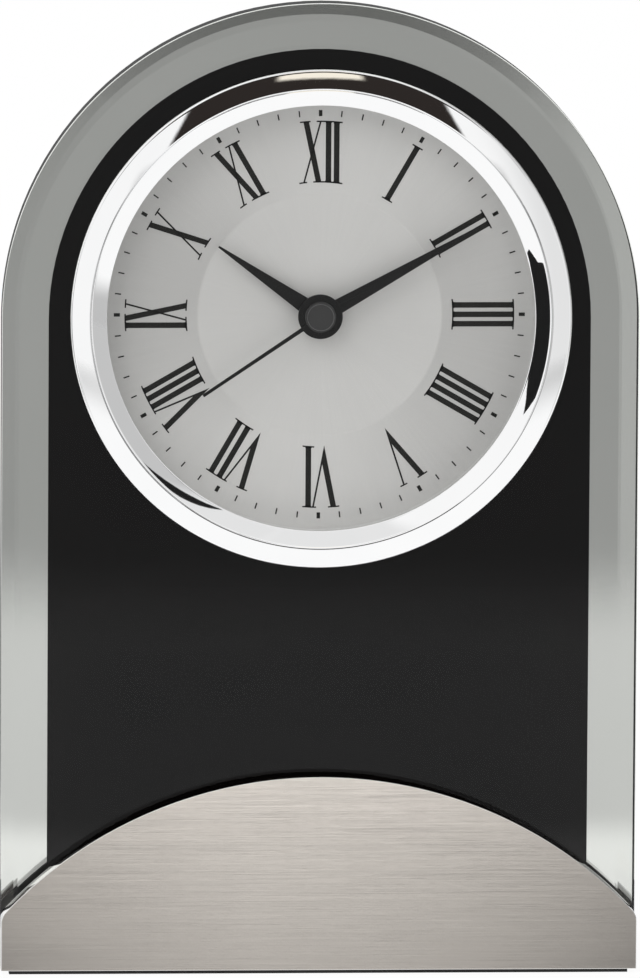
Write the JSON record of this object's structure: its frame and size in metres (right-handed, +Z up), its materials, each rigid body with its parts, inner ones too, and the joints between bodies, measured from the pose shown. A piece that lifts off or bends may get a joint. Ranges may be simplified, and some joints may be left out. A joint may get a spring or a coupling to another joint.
{
  "type": "mantel clock",
  "caption": "Arched mantel clock: bevelled mirror-edged glass panel in a brushed metal foot, with a round chrome quartz insert and a Roman dial.",
  "frame": {"origin": "on the table, under the middle of the overall box (the glass stands near the front)", "axes": "+Z up, the dial faces -Y, +X to the right as seen from the front"},
  "size_m": [0.1144, 0.045, 0.175],
  "materials": {
    "clear_glass": "clear bevelled and polished",
    "silvering": "silvered",
    "black_lacquer": "gloss lacquer under glass",
    "brushed_aluminium": "horizontally brushed satin, polished edge",
    "black_rubber": "matt",
    "chrome": "polished",
    "lens_glass": "clear",
    "silver_dial": "fine brushed, lacquered",
    "black_plastic": "fine spark-eroded texture",
    "soft_iron": "stamped",
    "white_plastic": "moulded",
    "copper_wire": "enamelled",
    "circuit_green": "solder resist",
    "crystal_can": "nickel",
    "contact_spring": "nickel plated",
    "battery_sleeve": "gloss sleeve",
    "magnet": "sintered",
    "hand_black": "satin black"
  },
  "bodies": {
    "case_group": {"glass_panel": "clear_glass", "mirror_border": "silvering", "black_backing": "black_lacquer", "foot_plate": "brushed_aluminium", "base_block": "brushed_aluminium", "seat_gasket": "black_rubber", "base_pad": "black_rubber", "bezel": "chrome", "lens": "lens_glass", "reflector_ring": "chrome", "dial": "silver_dial", "insert_can": "black_plastic", "movement_case": "black_plastic", "movement_cover": "black_plastic", "stator": "soft_iron", "coil_core": "soft_iron", "coil_bobbin": "white_plastic", "coil_winding": "copper_wire", "circuit_board": "circuit_green", "quartz_crystal": "crystal_can", "contact_positive": "contact_spring", "contact_negative": "contact_spring"},
    "seconds_group": {"seconds_wheel": "white_plastic", "seconds_hand": "hand_black"},
    "intermediate_group": {"intermediate_wheel": "white_plastic"},
    "rotor_group": {"rotor": "magnet"},
    "third_group": {"third_wheel": "white_plastic"},
    "centre_group": {"centre_wheel": "white_plastic"},
    "minute_group": {"cannon_pinion": "white_plastic", "minute_hand": "hand_black"},
    "minute_wheel_group": {"minute_wheel": "white_plastic", "setting_knob": "black_plastic"},
    "hour_group": {"hour_wheel": "white_plastic", "hour_hand": "hand_black"},
    "battery_group": {"battery": "battery_sleeve"}
  },
  "joints": [
    {"name": "seconds_spin", "type": "hinge", "parent": "case_group", "child": "seconds_group", "pos_m": [0, 0, 0.1183], "axis": [0, 1, 0], "continuous": true},
    {"name": "intermediate_spin", "type": "hinge", "parent": "case_group", "child": "intermediate_group", "pos_m": [-0.00076, 0, 0.12702], "axis": [0, 1, 0], "continuous": true},
    {"name": "rotor_spin", "type": "hinge", "parent": "case_group", "child": "rotor_group", "pos_m": [0.00028, 0, 0.13293], "axis": [0, 1, 0], "continuous": true},
    {"name": "third_spin", "type": "hinge", "parent": "case_group", "child": "third_group", "pos_m": [0.00799, 0, 0.12121], "axis": [0, 1, 0], "continuous": true},
    {"name": "centre_spin", "type": "hinge", "parent": "case_group", "child": "centre_group", "pos_m": [0, 0, 0.1183], "axis": [0, 1, 0], "continuous": true},
    {"name": "minute_spin", "type": "hinge", "parent": "case_group", "child": "minute_group", "pos_m": [0, 0, 0.1183], "axis": [0, 1, 0], "continuous": true},
    {"name": "setting_knob_spin", "type": "hinge", "parent": "case_group", "child": "minute_wheel_group", "pos_m": [-0.00886, 0, 0.11986], "axis": [0, 1, 0], "continuous": true},
    {"name": "hour_spin", "type": "hinge", "parent": "case_group", "child": "hour_group", "pos_m": [0, 0, 0.1183], "axis": [0, 1, 0], "continuous": true},
    {"name": "battery_slide", "type": "slide", "parent": "case_group", "child": "battery_group", "axis": [0, 1, 0], "range_m": [0, 0.02]}
  ],
  "couplings": [
    {"joint": "intermediate_spin", "follows": "seconds_spin", "ratio": -6},
    {"joint": "rotor_spin", "follows": "seconds_spin", "ratio": 30},
    {"joint": "third_spin", "follows": "seconds_spin", "ratio": -0.125},
    {"joint": "centre_spin", "follows": "seconds_spin", "ratio": 0.016667},
    {"joint": "setting_knob_spin", "follows": "minute_spin", "ratio": -0.33333},
    {"joint": "hour_spin", "follows": "minute_spin", "ratio": 0.083333}
  ]
}
